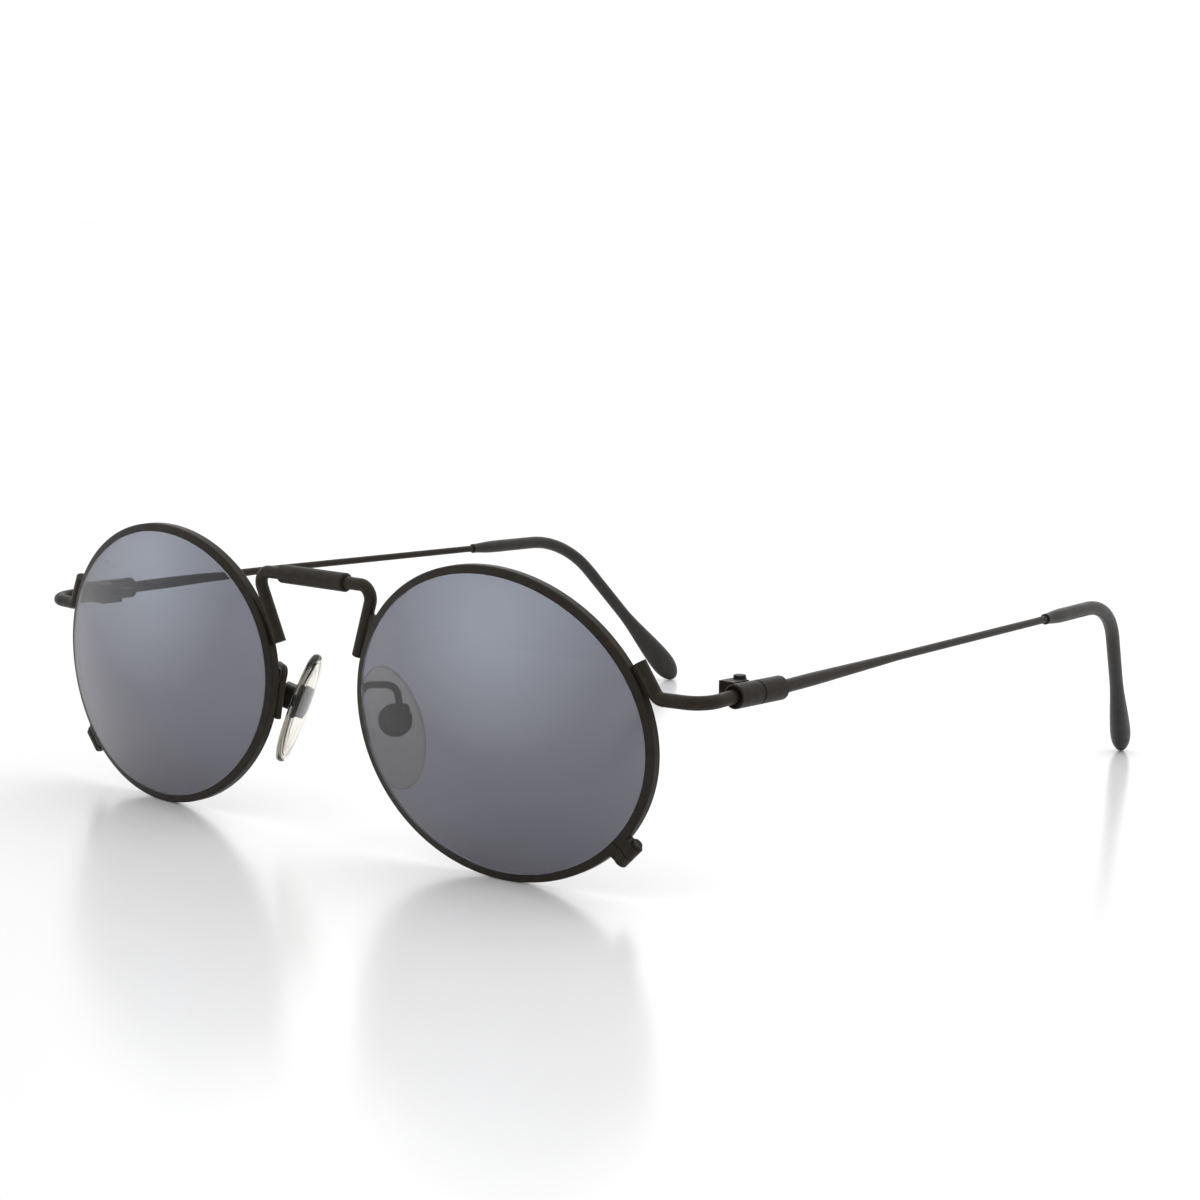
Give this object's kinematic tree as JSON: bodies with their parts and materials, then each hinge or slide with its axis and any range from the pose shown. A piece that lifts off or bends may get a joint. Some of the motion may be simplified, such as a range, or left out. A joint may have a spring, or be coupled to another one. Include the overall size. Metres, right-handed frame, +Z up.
{
  "type": "sunglasses",
  "caption": "Round full-rim wire sunglasses with smoke lenses, a bent-wire sleeved bridge, barrel hinges, thin rod temples, curved plastic tips and clear rocking nose pads.",
  "frame": {"origin": "on the surface that the open glasses stand on, under the middle of their plan", "axes": "+X towards the wearer's left, +Y back towards the ears, +Z up"},
  "size_m": [0.1384, 0.146, 0.0433],
  "materials": {
    "frame_paint": "satin black-brown enamel",
    "screw_steel": "blackened steel, slightly glossier than the frame",
    "core_metal": "dark metal seen through the pad",
    "smoke_lens": "polished, smoke grey",
    "pad_silicone": "clear soft silicone, slightly yellowed",
    "tip_plastic": "satin dark plastic"
  },
  "bodies": {
    "front": {"bridge_wire": "frame_paint", "bridge_sleeve": "frame_paint", "eyewire_left": "frame_paint", "eyewire_right": "frame_paint", "lens_left": "smoke_lens", "lens_right": "smoke_lens", "closing_block_upper_left": "frame_paint", "closing_block_upper_right": "frame_paint", "closing_block_lower_left": "frame_paint", "closing_block_lower_right": "frame_paint", "closing_screw_left": "screw_steel", "closing_screw_right": "screw_steel", "endpiece_wire_left": "frame_paint", "endpiece_wire_right": "frame_paint", "front_barrel_left": "frame_paint", "front_barrel_right": "frame_paint", "front_hinge_leaf_left": "frame_paint", "front_hinge_leaf_right": "frame_paint", "hinge_screw_left": "screw_steel", "hinge_screw_right": "screw_steel", "pad_box_left": "frame_paint", "pad_box_right": "frame_paint", "pad_screw_left": "screw_steel", "pad_screw_right": "screw_steel", "pad_arm_left": "frame_paint", "pad_arm_right": "frame_paint"},
    "temple_left": {"temple_barrel_left": "frame_paint", "temple_hinge_leaf_left": "frame_paint", "temple_wire_left": "frame_paint", "temple_tip_left": "tip_plastic"},
    "temple_right": {"temple_barrel_right": "frame_paint", "temple_hinge_leaf_right": "frame_paint", "temple_wire_right": "frame_paint", "temple_tip_right": "tip_plastic"},
    "pad_left": {"nose_pad_left": "pad_silicone", "pad_core_left": "core_metal"},
    "pad_right": {"nose_pad_right": "pad_silicone", "pad_core_right": "core_metal"}
  },
  "joints": [
    {"name": "fold_left", "type": "hinge", "parent": "front", "child": "temple_left", "pos_m": [0.06476, -0.05418, 0.02815], "axis": [0, 0, 1], "range_deg": [0, 86]},
    {"name": "fold_right", "type": "hinge", "parent": "front", "child": "temple_right", "pos_m": [-0.06476, -0.05418, 0.02815], "axis": [0, 0, -1], "range_deg": [0, 80]},
    {"name": "pad_rock_left", "type": "hinge", "parent": "front", "child": "pad_left", "pos_m": [0.01175, -0.06432, 0.01878], "axis": [0.515, 0.8572, 0], "range_deg": [-8, 8]},
    {"name": "pad_rock_right", "type": "hinge", "parent": "front", "child": "pad_right", "pos_m": [-0.01175, -0.06432, 0.01878], "axis": [-0.515, 0.8572, 0], "range_deg": [-8, 8]}
  ]
}
